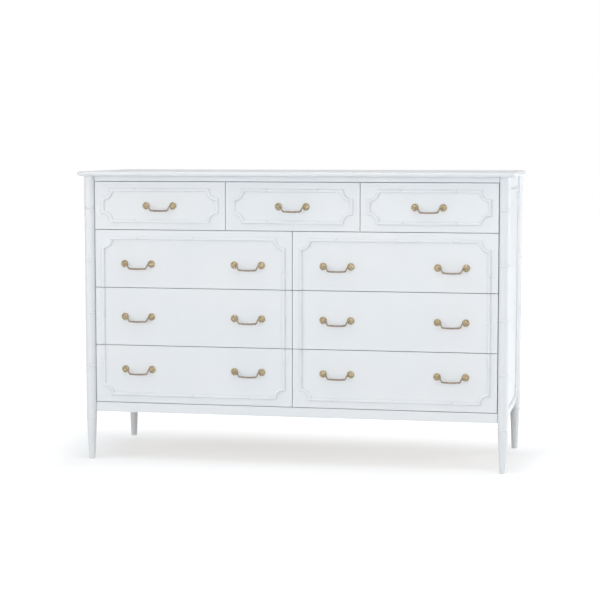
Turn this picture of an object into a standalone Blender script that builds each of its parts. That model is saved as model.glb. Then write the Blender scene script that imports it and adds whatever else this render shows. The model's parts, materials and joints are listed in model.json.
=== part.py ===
"""A painted dresser with bamboo-turned corner posts, nine drawers and swinging brass bail pulls.

Metres, +Z up, +X to the right as the front is seen, -Y towards the front.
The origin is on the floor, below the middle of the top.
"""
import math

import bmesh
import bpy
from mathutils import Matrix, Vector

# Fits
CLEARANCE = 0.0003
DRAWER_GAP = 0.0018
POST_GAP = 0.0015
BOX_SIDE_CLEARANCE = 0.0015

# Heights, from the floor up
LEG_HEIGHT = 0.1705
APRON_HEIGHT = 0.0345
LOWER_ROW_HEIGHT = 0.2025
TOP_ROW_HEIGHT = 0.168
TOP_RAIL_HEIGHT = 0.0185
TOP_THICKNESS = 0.016

# Case
FRONT_SPAN = 1.410
POST_SPACING_DEEP = 0.510
SIDE_THICKNESS = 0.030
SIDE_RECESS = 0.014
SIDE_END_BEHIND_AXIS = 0.006
BOARD_THICKNESS = 0.018
BACK_THICKNESS = 0.006
RAIL_SETBACK = 0.001

# Top: a round corner over each front post, and straight edges set back from it
CORNER_RADIUS = 0.0415
FRONT_EDGE_SETBACK = 0.0067
OVERHANG_SIDE = 0.010
BACK_CORNER_RADIUS = 0.008
TOP_EDGE_RADIUS = 0.0075
CORNER_STEPS = 10
BACK_CORNER_STEPS = 3
TOP_EDGE_STEPS = 4

# Turned posts
POST_RADIUS = 0.0185
RING_RADIUS = 0.0198
RING_HALF_LENGTH = 0.006
RING_BAND_HALF = 0.003
RING_SPACING = 0.186
LOWEST_RING = 0.145
RING_COUNT = 5
TAPER_BELOW_RING = 0.012
LEG_RADIUS = 0.0168
FOOT_RADIUS = 0.0115
POST_STEPS = 16

# Drawers
FRONT_THICKNESS = 0.020
FRONT_SETBACK = 0.013
FRONT_BEVEL = 0.0015
BOX_WALL = 0.012
BOX_BOTTOM = 0.006
BOX_BOTTOM_RAISE = 0.008
BOX_DEPTH = 0.450
TOP_BOX_HEIGHT = 0.130
LOWER_BOX_HEIGHT = 0.155

# Bamboo moulding
MOULDING_INSET = 0.0295
MOULDING_WIDTH = 0.012
MOULDING_HEIGHT = 0.007
MOULDING_SHOULDER = 0.001
MOULDING_EMBED = 0.002
MOULDING_END = 0.0003
SCALLOP_RADIUS = 0.032
SCALLOP_STEPS = 4
SECTION_STEPS = 4
KNOT_HALF_LENGTH = 0.004
KNOT_CROWN_HALF = 0.002
KNOT_SCALE = 1.22
TOP_KNOT_OFFSET = 0.091
LOWER_KNOT_OFFSET = 0.200
SIDE_KNOT_OFFSET = 0.1535

# Pulls
PULL_SPACING = 0.096
PULL_INSET = 0.156
PULL_ROW_SHIFT = 0.0175
AXIS_OUT = 0.012
EAR_RADIUS = 0.005
NECK_RADIUS = 0.0032
ROSETTE_RADIUS = 0.0122
ROSETTE_EDGE = 0.0024
ROSETTE_DOME = 0.0060
ROSETTE_STEPS = 8
PIN_RADIUS = 0.0015
PIN_BORE_STEPS = 6
PIN_END_FROM_EAR = 0.0020
BAIL_DROP = 0.0166
BAIL_SAG = 0.0014
BAIL_BAR_HALF = 0.026
BAIL_SHOULDER_GAP = 0.0012
BAIL_BAR_RADIUS = 0.0023
BAIL_SHOULDER_STEPS = 3
BAIL_BAR_STEPS = 4
BAIL_ROUNDING = 1

# Mesh making
MERGE_DISTANCE = 0.00001
SHARP_ANGLE = math.radians(60)
RIGHT_ANGLE = math.pi / 2

# Heights and places that follow
Z_BOTTOM = LEG_HEIGHT + APRON_HEIGHT
Z_LOWER = Z_BOTTOM + LOWER_ROW_HEIGHT
Z_MIDDLE = Z_LOWER + LOWER_ROW_HEIGHT
Z_UPPER = Z_MIDDLE + LOWER_ROW_HEIGHT
Z_RAIL = Z_UPPER + TOP_ROW_HEIGHT
Z_UNDERSIDE = Z_RAIL + TOP_RAIL_HEIGHT
CASE_TOP = Z_UNDERSIDE - CLEARANCE
HALF_SPAN = FRONT_SPAN / 2
THIRD = FRONT_SPAN / 3
POST_X = HALF_SPAN + POST_GAP + POST_RADIUS
TOP_DEPTH = CORNER_RADIUS + POST_SPACING_DEEP + RING_RADIUS
POST_FRONT_Y = -TOP_DEPTH / 2 + CORNER_RADIUS
POST_BACK_Y = POST_FRONT_Y + POST_SPACING_DEEP
TOP_SIDE_X = POST_X + POST_RADIUS + OVERHANG_SIDE
FRONT_Y = POST_FRONT_Y - POST_RADIUS + FRONT_SETBACK
FRONT_BACK_Y = FRONT_Y + FRONT_THICKNESS
CASE_FRONT_Y = FRONT_BACK_Y + CLEARANCE
SIDE_OUTER_X = POST_X + POST_RADIUS - SIDE_RECESS
SIDE_INNER_X = SIDE_OUTER_X - SIDE_THICKNESS
SIDE_BACK_Y = POST_BACK_Y - SIDE_END_BEHIND_AXIS
BACK_FRONT_Y = SIDE_BACK_Y - BACK_THICKNESS
INNER_X = SIDE_INNER_X - CLEARANCE
BOARD_BACK_Y = BACK_FRONT_Y - CLEARANCE
HALF_BOARD = BOARD_THICKNESS / 2
HALF_GAP = DRAWER_GAP / 2

WHITE = ((0.80, 0.83, 0.84), 0.35, 0.0)
BARE_WOOD = ((0.55, 0.38, 0.22), 0.6, 0.0)
BRASS = ((0.42, 0.32, 0.16), 0.35, 1.0)


def clear_scene():
    """Remove every object that is already in the file."""
    for thing in list(bpy.data.objects):
        bpy.data.objects.remove(thing, do_unlink=True)


def new_collection(name):
    """Add a collection to the scene."""
    collection = bpy.data.collections.new(name)
    bpy.context.scene.collection.children.link(collection)
    return collection


clear_scene()
PARTS = new_collection("dresser")
CUTTERS = new_collection("cutters")


def finish_material(thing, finish):
    """Give an object its own paint, wood or metal."""
    colour, roughness, metallic = finish
    material = bpy.data.materials.new(thing.name)
    material.use_nodes = True
    shader = material.node_tree.nodes["Principled BSDF"]
    shader.inputs["Base Color"].default_value = (*colour, 1.0)
    shader.inputs["Roughness"].default_value = roughness
    shader.inputs["Metallic"].default_value = metallic
    thing.data.materials.append(material)


def add_part(name, data, finish, place=(0, 0, 0), parent=None):
    """Put mesh or curve data in the dresser at a place in the dresser's own frame."""
    thing = bpy.data.objects.new(name, data)
    PARTS.objects.link(thing)
    thing.location = place
    if parent is not None:
        thing.parent = parent
        thing.location = Vector(place) - parent.location
    finish_material(thing, finish)
    return thing


def add_empty(name, place):
    """Add an empty that stands for a moving group."""
    empty = bpy.data.objects.new(name, None)
    PARTS.objects.link(empty)
    empty.location = place
    return empty


def mesh_from(form, name):
    """Turn a finished bmesh into a mesh."""
    mesh = bpy.data.meshes.new(name)
    form.to_mesh(mesh)
    form.free()
    return mesh


def box_mesh(name, low, high):
    """Make a block from its lowest to its highest corner."""
    low = Vector(low)
    high = Vector(high)
    size = high - low
    form = bmesh.new()
    bmesh.ops.create_cube(form, size=1.0, matrix=Matrix.Diagonal((*size, 1.0)))
    bmesh.ops.translate(form, verts=form.verts, vec=(low + high) / 2)
    return mesh_from(form, name)


def add_box(name, low, high, finish, parent=None):
    """Add a plain board between two corners given in the dresser's frame."""
    origin = parent.location if parent is not None else Vector((0, 0, 0))
    mesh = box_mesh(name, Vector(low) - origin, Vector(high) - origin)
    return add_part(name, mesh, finish, origin, parent)


def add_cutter(name, mesh, like):
    """Add a hidden mesh that shares another object's place, for its Booleans."""
    cutter = bpy.data.objects.new(name, mesh)
    CUTTERS.objects.link(cutter)
    cutter.parent = like.parent
    cutter.location = like.location
    cutter.hide_render = True
    cutter.display_type = "WIRE"
    return cutter


def add_boolean(thing, cutter, operation):
    """Join or cut an object with a cutter."""
    modifier = thing.modifiers.new(cutter.name, "BOOLEAN")
    modifier.operation = operation
    modifier.solver = "EXACT"
    modifier.object = cutter


def add_bevel(thing, width, segments=1):
    """Round an object's sharp edges."""
    modifier = thing.modifiers.new("rounding", "BEVEL")
    modifier.width = width
    modifier.segments = segments
    modifier.limit_method = "ANGLE"
    modifier.angle_limit = SHARP_ANGLE


def turned_mesh(name, profile, steps):
    """Turn a profile of (radius, height) points, listed from top to bottom, about Z."""
    outline = bpy.data.meshes.new(name + "_profile")
    points = [(radius, 0, height) for radius, height in profile]
    edges = [(index, index + 1) for index in range(len(points) - 1)]
    outline.from_pydata(points, edges, [])
    lathe = bpy.data.objects.new(name + "_lathe", outline)
    CUTTERS.objects.link(lathe)
    screw = lathe.modifiers.new("turning", "SCREW")
    screw.steps = steps
    screw.render_steps = steps
    screw.use_merge_vertices = True
    screw.merge_threshold = MERGE_DISTANCE
    depsgraph = bpy.context.evaluated_depsgraph_get()
    mesh = bpy.data.meshes.new_from_object(lathe.evaluated_get(depsgraph))
    mesh.name = name
    bpy.data.objects.remove(lathe, do_unlink=True)
    bpy.data.meshes.remove(outline)
    return mesh


def joined_mesh(name, pieces):
    """Collect copies of meshes, each with its matrix, in one mesh."""
    form = bmesh.new()
    for mesh, matrix in pieces:
        copy = mesh.copy()
        copy.transform(matrix)
        form.from_mesh(copy)
        bpy.data.meshes.remove(copy)
    return mesh_from(form, name)


def arc(centre, radius, start, end, steps):
    """Give points on an arc about a centre, from one angle to another."""
    points = []
    for step in range(steps + 1):
        angle = start + (end - start) * step / steps
        points.append(Vector((centre[0] + radius * math.cos(angle),
                              centre[1] + radius * math.sin(angle))))
    return points


def top_outline():
    """Give the outline of the top, anticlockwise: the right half, then its mirror image."""
    straight_from_axis = CORNER_RADIUS - FRONT_EDGE_SETBACK
    side_from_axis = TOP_SIDE_X - POST_X
    start = -RIGHT_ANGLE - math.acos(straight_from_axis / CORNER_RADIUS)
    end = math.acos(side_from_axis / CORNER_RADIUS)
    right = arc((POST_X, POST_FRONT_Y), CORNER_RADIUS, start, end, CORNER_STEPS)
    back_corner = (TOP_SIDE_X - BACK_CORNER_RADIUS, TOP_DEPTH / 2 - BACK_CORNER_RADIUS)
    right += arc(back_corner, BACK_CORNER_RADIUS, 0, RIGHT_ANGLE, BACK_CORNER_STEPS)
    return right + [Vector((-point.x, point.y)) for point in reversed(right)]


def make_top():
    """Make the top board: round corners over the front posts and a rounded edge all round."""
    outline = top_outline()
    curve = bpy.data.curves.new("top", "CURVE")
    curve.dimensions = "2D"
    curve.fill_mode = "BOTH"
    curve.extrude = TOP_THICKNESS / 2
    spline = curve.splines.new("POLY")
    spline.points.add(len(outline) - 1)
    for point, corner in zip(spline.points, outline):
        point.co = (*corner, 0, 1)
    spline.use_cyclic_u = True
    top = add_part("top", curve, WHITE, (0, 0, Z_UNDERSIDE + TOP_THICKNESS / 2))
    weld = top.modifiers.new("weld", "WELD")
    weld.merge_threshold = MERGE_DISTANCE
    add_bevel(top, TOP_EDGE_RADIUS, TOP_EDGE_STEPS)


def ring_profile(height):
    """Give a bamboo ring's profile, from its top to its bottom."""
    return [(POST_RADIUS, height + RING_HALF_LENGTH),
            (RING_RADIUS, height + RING_BAND_HALF),
            (RING_RADIUS, height - RING_BAND_HALF),
            (POST_RADIUS, height - RING_HALF_LENGTH)]


def post_profile():
    """Give a post's profile: a rod with rings, which tapers below the lowest ring."""
    profile = [(0, CASE_TOP), (POST_RADIUS, CASE_TOP)]
    for index in reversed(range(RING_COUNT)):
        profile += ring_profile(LOWEST_RING + index * RING_SPACING)
    profile.append((LEG_RADIUS, LOWEST_RING - TAPER_BELOW_RING))
    profile.append((FOOT_RADIUS, 0))
    profile.append((0, 0))
    return profile


def notch_mesh(name, x_side, y_side, axis_y, case_end_y):
    """Make the cutter for a post's notch, around the post's own axis."""
    reach = 2 * POST_RADIUS
    corner_x = x_side * (SIDE_OUTER_X + CLEARANCE - POST_X)
    corner_y = case_end_y + y_side * CLEARANCE - axis_y
    across = sorted((corner_x, corner_x - x_side * reach))
    deep = sorted((corner_y, corner_y - y_side * reach))
    low = (across[0], deep[0], LEG_HEIGHT - CLEARANCE)
    high = (across[1], deep[1], Z_UNDERSIDE + reach)
    return box_mesh(name, low, high)


def make_posts():
    """Make the four turned posts, each with a notch for the corner of the case."""
    mesh = turned_mesh("post", post_profile(), POST_STEPS)
    ends = (("front", -1, POST_FRONT_Y, CASE_FRONT_Y), ("back", 1, POST_BACK_Y, SIDE_BACK_Y))
    for x_side, side in ((-1, "left"), (1, "right")):
        for end, y_side, axis_y, case_end_y in ends:
            name = "post_" + end + "_" + side
            post = add_part(name, mesh.copy(), WHITE, (x_side * POST_X, axis_y, 0))
            cutter = notch_mesh(name + "_notch", x_side, y_side, axis_y, case_end_y)
            add_boolean(post, add_cutter(name + "_notch", cutter, post), "DIFFERENCE")


def make_sides():
    """Make the side panels, and the dividers and dust boards of each half."""
    for x_side, side in ((-1, "left"), (1, "right")):
        across = sorted((x_side * SIDE_INNER_X, x_side * SIDE_OUTER_X))
        add_box("side_" + side, (across[0], CASE_FRONT_Y, LEG_HEIGHT),
                (across[1], SIDE_BACK_Y, CASE_TOP), WHITE)
        middle = x_side * THIRD / 2
        add_box("divider_" + side, (middle - HALF_BOARD, CASE_FRONT_Y, Z_UPPER + HALF_BOARD + CLEARANCE),
                (middle + HALF_BOARD, BOARD_BACK_Y, CASE_TOP), BARE_WOOD)
        across = sorted((x_side * (HALF_BOARD + CLEARANCE), x_side * INNER_X))
        for name, height in (("middle", Z_MIDDLE), ("lower", Z_LOWER)):
            add_box("dust_board_" + name + "_" + side, (across[0], CASE_FRONT_Y, height - HALF_BOARD),
                    (across[1], BOARD_BACK_Y, height + HALF_BOARD), BARE_WOOD)


def make_rails():
    """Make the painted rails above and below the drawers."""
    rail_end = POST_X - POST_RADIUS - CLEARANCE
    rail_front = FRONT_Y + RAIL_SETBACK
    add_box("top_rail", (-rail_end, rail_front, Z_RAIL + HALF_GAP), (rail_end, FRONT_BACK_Y, CASE_TOP), WHITE)
    add_box("bottom_rail", (-rail_end, rail_front, LEG_HEIGHT),
            (rail_end, FRONT_BACK_Y, Z_BOTTOM - HALF_GAP), WHITE)


def make_boards():
    """Make the back panel and the boards that run the whole length or depth."""
    add_box("back_panel", (-INNER_X, BACK_FRONT_Y, LEG_HEIGHT), (INNER_X, SIDE_BACK_Y, CASE_TOP), BARE_WOOD)
    add_box("dust_board_upper", (-INNER_X, CASE_FRONT_Y, Z_UPPER - HALF_BOARD),
            (INNER_X, BOARD_BACK_Y, Z_UPPER + HALF_BOARD), BARE_WOOD)
    add_box("bottom_board", (-INNER_X, CASE_FRONT_Y, Z_BOTTOM - HALF_BOARD),
            (INNER_X, BOARD_BACK_Y, Z_BOTTOM + HALF_BOARD), BARE_WOOD)
    add_box("centre_partition", (-HALF_BOARD, CASE_FRONT_Y, Z_BOTTOM + HALF_BOARD + CLEARANCE),
            (HALF_BOARD, BOARD_BACK_Y, Z_UPPER - HALF_BOARD - CLEARANCE), BARE_WOOD)


def scallop(corner, start):
    """Give the arc of a notched corner, about the corner point of the frame."""
    return arc(corner, SCALLOP_RADIUS, start, start + RIGHT_ANGLE, SCALLOP_STEPS)


def head_corners(left, right, high):
    """Give the two upper notched corners of a frame, walked clockwise."""
    return scallop((left, high), -RIGHT_ANGLE) + scallop((right, high), math.pi)


def foot_corners(left, right, low):
    """Give the two lower notched corners of a frame, walked clockwise."""
    return scallop((right, low), RIGHT_ANGLE) + scallop((left, low), 0)


def knots_on(start, along, length, knots):
    """Give the distances along a straight at which it has a knot."""
    hits = []
    for knot in knots:
        distance = (knot - start).dot(along)
        offset = (knot - start - along * distance).length
        if offset < MOULDING_WIDTH / 2 and KNOT_HALF_LENGTH < distance < length - KNOT_HALF_LENGTH:
            hits.append(distance)
    return sorted(hits)


def with_knots(points, knots):
    """Give (point, scale) pairs along a path, with a swelling at each knot."""
    path = [(points[0], 1.0)]
    for start, end in zip(points, points[1:]):
        length = (end - start).length
        along = (end - start) / length
        for distance in knots_on(start, along, length, knots):
            middle = start + along * distance
            path += [(middle - along * KNOT_HALF_LENGTH, 1.0), (middle - along * KNOT_CROWN_HALF, KNOT_SCALE),
                     (middle + along * KNOT_CROWN_HALF, KNOT_SCALE), (middle + along * KNOT_HALF_LENGTH, 1.0)]
        path.append((end, 1.0))
    return path


def section_points(scale, seat):
    """Give the moulding's section as (across, out) pairs: round in front, flat at its seat."""
    half = MOULDING_WIDTH / 2 * scale
    round_height = MOULDING_HEIGHT * scale - MOULDING_SHOULDER
    points = [(half, seat)]
    for step in range(SECTION_STEPS + 1):
        angle = math.pi * step / SECTION_STEPS
        points.append((half * math.cos(angle), MOULDING_SHOULDER + round_height * math.sin(angle)))
    points.append((-half, seat))
    return points


def mitre_normal(before, point, after):
    """Give the direction across a path at a point, stretched as a mitre is."""
    inward = (point - before).normalized() if before is not None else None
    onward = (after - point).normalized() if after is not None else None
    inward = inward or onward
    onward = onward or inward
    mitre = (inward + onward).normalized()
    return Vector((mitre.y, -mitre.x)) / mitre.dot(inward)


def moulding_mesh(name, points, knots, closed, seat=-MOULDING_EMBED):
    """Sweep the moulding's section along a flat path; X is across, Z is up, -Y is out."""
    path = with_knots(points + points[:1] if closed else points, knots)
    if closed:
        path = path[:-1]
    form = bmesh.new()
    rings = []
    for index, (point, scale) in enumerate(path):
        before = path[index - 1][0] if closed or index else None
        after = path[(index + 1) % len(path)][0] if closed or index + 1 < len(path) else None
        normal = mitre_normal(before, point, after)
        ring = []
        for across, out in section_points(scale, seat):
            place = point + normal * across
            ring.append(form.verts.new((place.x, -out, place.y)))
        rings.append(ring)
    pairs = list(zip(rings, rings[1:]))
    if closed:
        pairs.append((rings[-1], rings[0]))
    else:
        form.faces.new(rings[0])
        form.faces.new(rings[-1])
    for first, second in pairs:
        for index in range(len(first)):
            following = (index + 1) % len(first)
            form.faces.new((first[index], first[following], second[following], second[index]))
    bmesh.ops.recalc_face_normals(form, faces=form.faces)
    return mesh_from(form, name)


def closed_frame(name, left, low, right, high, knots, seat=-MOULDING_EMBED):
    """Make a whole moulding frame with four notched corners."""
    points = head_corners(left, right, high) + foot_corners(left, right, low)
    return moulding_mesh(name, points, knots, True, seat)


def make_side_mouldings():
    """Make the moulding frame on each side of the case."""
    front = POST_FRONT_Y + POST_RADIUS + MOULDING_INSET
    back = POST_BACK_Y - POST_RADIUS - MOULDING_INSET
    low = LEG_HEIGHT + MOULDING_INSET
    high = Z_RAIL - MOULDING_INSET
    middle = (low + high) / 2
    spots = [Vector((across, middle + offset)) for across in (front, back)
             for offset in (-SIDE_KNOT_OFFSET, 0, SIDE_KNOT_OFFSET)]
    spots += [Vector(((front + back) / 2, height)) for height in (low, high)]
    for x_side, side in ((-1, "left"), (1, "right")):
        name = "side_moulding_" + side
        mesh = closed_frame(name, front, low, back, high, spots, CLEARANCE)
        mesh.transform(Matrix(((0, -x_side, 0, 0), (1, 0, 0, 0), (0, 0, 1, 0), (0, 0, 0, 1))))
        if x_side < 0:
            mesh.flip_normals()
        add_part(name, mesh, WHITE, (x_side * SIDE_OUTER_X, 0, 0))


def rosette_mesh():
    """Turn a rosette with its neck and ball ear; its axis is Z and its seat is at zero."""
    slant = EAR_RADIUS * math.sin(RIGHT_ANGLE / 2)
    profile = [(0, AXIS_OUT + EAR_RADIUS),
               (slant, AXIS_OUT + slant),
               (EAR_RADIUS, AXIS_OUT),
               (NECK_RADIUS, AXIS_OUT - slant),
               (NECK_RADIUS, ROSETTE_DOME),
               (ROSETTE_RADIUS, ROSETTE_EDGE),
               (ROSETTE_RADIUS, -MOULDING_EMBED),
               (0, -MOULDING_EMBED)]
    mesh = turned_mesh("rosette", profile, ROSETTE_STEPS)
    mesh.transform(Matrix.Rotation(math.pi / ROSETTE_STEPS, 4, "Z"))
    return mesh


def bore_mesh():
    """Make a cutter for the pin's hole: it starts near the ear's middle and leaves along +X."""
    radius = (PIN_RADIUS + CLEARANCE) / math.cos(math.pi / PIN_BORE_STEPS)
    start = PIN_END_FROM_EAR - CLEARANCE
    length = EAR_RADIUS
    form = bmesh.new()
    bmesh.ops.create_cone(form, cap_ends=True, segments=PIN_BORE_STEPS, radius1=radius, radius2=radius,
                          depth=length)
    bmesh.ops.translate(form, verts=form.verts, vec=(0, 0, start + length / 2))
    mesh = mesh_from(form, "bore")
    mesh.transform(Matrix.Rotation(RIGHT_ANGLE, 4, "Y"))
    return mesh


ROSETTE = rosette_mesh()
BORE = bore_mesh()


def bail_path():
    """Give (across, height, radius) along a bail: pins, falling shoulders and a bowed bar."""
    pin_end = PULL_SPACING / 2 - PIN_END_FROM_EAR
    shoulder = PULL_SPACING / 2 - EAR_RADIUS - BAIL_SHOULDER_GAP
    left = [(-pin_end, 0, PIN_RADIUS), (-shoulder, 0, PIN_RADIUS)]
    for step in range(1, BAIL_SHOULDER_STEPS + 1):
        share = step / BAIL_SHOULDER_STEPS
        across = shoulder + (BAIL_BAR_HALF - shoulder) * share
        fall = BAIL_DROP * (1 - math.cos(math.pi * share)) / 2
        radius = PIN_RADIUS + (BAIL_BAR_RADIUS - PIN_RADIUS) * share
        left.append((-across, -fall, radius))
    bar = []
    for step in range(1, BAIL_BAR_STEPS):
        share = 2 * step / BAIL_BAR_STEPS - 1
        bar.append((BAIL_BAR_HALF * share, -BAIL_DROP - BAIL_SAG * (1 - share * share), BAIL_BAR_RADIUS))
    return left + bar + [(-across, height, radius) for across, height, radius in reversed(left)]


def bail_curve(name):
    """Draw a bail about its own pivot, as one round bar."""
    points = bail_path()
    curve = bpy.data.curves.new(name, "CURVE")
    curve.dimensions = "3D"
    curve.bevel_depth = 1.0
    curve.bevel_resolution = BAIL_ROUNDING
    curve.use_fill_caps = True
    spline = curve.splines.new("POLY")
    spline.points.add(len(points) - 1)
    for point, (across, height, radius) in zip(spline.points, points):
        point.co = (across, 0, height, 1)
        point.radius = radius
    return curve


def side_knots(left, right):
    """Give the knots on the two uprights of a lower column's frame."""
    frame_middle = (Z_BOTTOM + Z_UPPER) / 2
    heights = [frame_middle + offset for offset in (-SIDE_KNOT_OFFSET, 0, SIDE_KNOT_OFFSET)]
    return [Vector((across, height)) for across in (left, right) for height in heights]


def whole_frame(name, left, low, right, high):
    """Make the whole frame of a top drawer."""
    centre_x = (left + right) / 2
    knots = [Vector((centre_x + offset, height)) for offset in (-TOP_KNOT_OFFSET, TOP_KNOT_OFFSET)
             for height in (low + MOULDING_INSET, high - MOULDING_INSET)]
    return [closed_frame(name, left, low + MOULDING_INSET, right, high - MOULDING_INSET, knots)]


def upright_lengths(name, left, low, right, high):
    """Make the two plain uprights of a middle drawer."""
    knots = side_knots(left, right)
    return [moulding_mesh(name, [Vector((across, low + MOULDING_END)), Vector((across, high - MOULDING_END))],
                          knots, False) for across in (left, right)]


def end_knots(left, right, level):
    """Give the knots on the cross length and the uprights of an open frame."""
    centre_x = (left + right) / 2
    across = [centre_x + offset for offset in (-LOWER_KNOT_OFFSET, 0, LOWER_KNOT_OFFSET)]
    return side_knots(left, right) + [Vector((place, level)) for place in across]


def frame_head(name, left, low, right, high):
    """Make the upper end of a lower column's frame, open below."""
    level = high - MOULDING_INSET
    points = [Vector((left, low + MOULDING_END))]
    points += head_corners(left, right, level)
    points.append(Vector((right, low + MOULDING_END)))
    return [moulding_mesh(name, points, end_knots(left, right, level), False)]


def frame_foot(name, left, low, right, high):
    """Make the lower end of a lower column's frame, open above."""
    level = low + MOULDING_INSET
    points = [Vector((right, high - MOULDING_END))]
    points += foot_corners(left, right, level)
    points.append(Vector((left, high - MOULDING_END)))
    return [moulding_mesh(name, points, end_knots(left, right, level), False)]


def ear_places(drawer, origin):
    """Give each ear's foot on the drawer's front, around an origin, and which side of its pull it is on."""
    places = []
    for pull_x in drawer["pulls"]:
        for ear_side in (-1, 1):
            at = Vector((pull_x + ear_side * PULL_SPACING / 2, FRONT_Y, drawer["pull_z"]))
            places.append((at - origin, ear_side))
    return places


def make_front(drawer, empty):
    """Make a drawer's front with its moulding and the rosettes of its pulls."""
    name = drawer["name"] + "_front"
    low = drawer["low"] + HALF_GAP
    high = drawer["high"] - HALF_GAP
    front = add_box(name, (drawer["left"] + HALF_GAP, FRONT_Y, low),
                    (drawer["right"] - HALF_GAP, FRONT_BACK_Y, high), WHITE, empty)
    add_bevel(front, FRONT_BEVEL)
    left = drawer["left"] + MOULDING_INSET
    right = drawer["right"] - MOULDING_INSET
    lengths = drawer["moulding"](name, left, low, right, high)
    to_centre = Matrix.Translation((-empty.location.x, 0, -empty.location.z))
    pieces = [(length, to_centre) for length in lengths]
    bores = []
    facing = Matrix.Rotation(RIGHT_ANGLE, 4, "X")
    for at, ear_side in ear_places(drawer, empty.location):
        pieces.append((ROSETTE, Matrix.Translation(at) @ facing))
        turn = Matrix.Rotation(math.pi if ear_side > 0 else 0, 4, "Z")
        bores.append((BORE, Matrix.Translation(at + Vector((0, -AXIS_OUT, 0))) @ turn))
    add_boolean(front, add_cutter(name + "_trim", joined_mesh(name + "_trim", pieces), front), "UNION")
    add_boolean(front, add_cutter(name + "_bores", joined_mesh(name + "_bores", bores), front), "DIFFERENCE")


def make_drawer_box(drawer, empty):
    """Make the wooden box behind a drawer's front: open on top, with a raised bottom."""
    name = drawer["name"] + "_box"
    low = Vector((drawer["box_left"], CASE_FRONT_Y, drawer["low"] + HALF_BOARD + CLEARANCE))
    high = Vector((drawer["box_right"], CASE_FRONT_Y + BOX_DEPTH, low.z + drawer["box_height"]))
    box = add_box(name, low, high, BARE_WOOD, empty)
    inner_low = low + Vector((BOX_WALL, BOX_WALL, 0)) - empty.location
    inner_high = high - Vector((BOX_WALL, BOX_WALL, 0)) - empty.location
    floor = inner_low.z + BOX_BOTTOM_RAISE
    hollows = (("_inside", floor + BOX_BOTTOM, inner_high.z + BOX_WALL),
               ("_below", inner_low.z - BOX_WALL, floor))
    for label, bottom, top in hollows:
        mesh = box_mesh(name + label, (inner_low.x, inner_low.y, bottom), (inner_high.x, inner_high.y, top))
        add_boolean(box, add_cutter(name + label, mesh, box), "DIFFERENCE")


def make_bails(drawer, empty):
    """Hang a bail between the ears of each pull, with its origin on its pivot."""
    for label, pull_x in zip(drawer["pull_names"], drawer["pulls"]):
        name = drawer["name"] + "_bail" + label
        place = Vector((pull_x, FRONT_Y - AXIS_OUT, drawer["pull_z"]))
        add_part(name, bail_curve(name), BRASS, place, empty)


def top_row():
    """Lay out the three drawers of the top row."""
    drawers = []
    for index, column in enumerate(("left", "centre", "right")):
        left = -HALF_SPAN + index * THIRD
        right = left + THIRD
        inner_left = -SIDE_INNER_X if index == 0 else left + HALF_BOARD
        inner_right = SIDE_INNER_X if index == 2 else right - HALF_BOARD
        drawers.append({"name": "drawer_top_" + column, "left": left, "right": right,
                        "low": Z_UPPER, "high": Z_RAIL, "moulding": whole_frame,
                        "box_left": inner_left + BOX_SIDE_CLEARANCE,
                        "box_right": inner_right - BOX_SIDE_CLEARANCE, "box_height": TOP_BOX_HEIGHT,
                        "pulls": [(left + right) / 2], "pull_names": [""],
                        "pull_z": (Z_UPPER + Z_RAIL) / 2})
    return drawers


def lower_rows():
    """Lay out the three rows of two wide drawers."""
    drawers = []
    rows = (("upper", Z_MIDDLE, frame_head, -PULL_ROW_SHIFT), ("middle", Z_LOWER, upright_lengths, 0),
            ("lower", Z_BOTTOM, frame_foot, PULL_ROW_SHIFT))
    for row, low, moulding, shift in rows:
        for column, left in (("left", -HALF_SPAN), ("right", 0)):
            right = left + HALF_SPAN
            inner_left = -SIDE_INNER_X if column == "left" else HALF_BOARD
            inner_right = SIDE_INNER_X if column == "right" else -HALF_BOARD
            drawers.append({"name": "drawer_" + row + "_" + column, "left": left, "right": right,
                            "low": low, "high": low + LOWER_ROW_HEIGHT, "moulding": moulding,
                            "box_left": inner_left + BOX_SIDE_CLEARANCE,
                            "box_right": inner_right - BOX_SIDE_CLEARANCE, "box_height": LOWER_BOX_HEIGHT,
                            "pulls": [left + PULL_INSET, right - PULL_INSET],
                            "pull_names": ["_left", "_right"],
                            "pull_z": low + LOWER_ROW_HEIGHT / 2 + shift})
    return drawers


def make_drawers():
    """Make every drawer on an empty at its front's centre."""
    for drawer in top_row() + lower_rows():
        centre = ((drawer["left"] + drawer["right"]) / 2, FRONT_Y, (drawer["low"] + drawer["high"]) / 2)
        empty = add_empty(drawer["name"], centre)
        make_front(drawer, empty)
        make_drawer_box(drawer, empty)
        make_bails(drawer, empty)


make_top()
make_posts()
make_sides()
make_rails()
make_boards()
make_side_mouldings()
make_drawers()
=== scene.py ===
import json
import math

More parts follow.
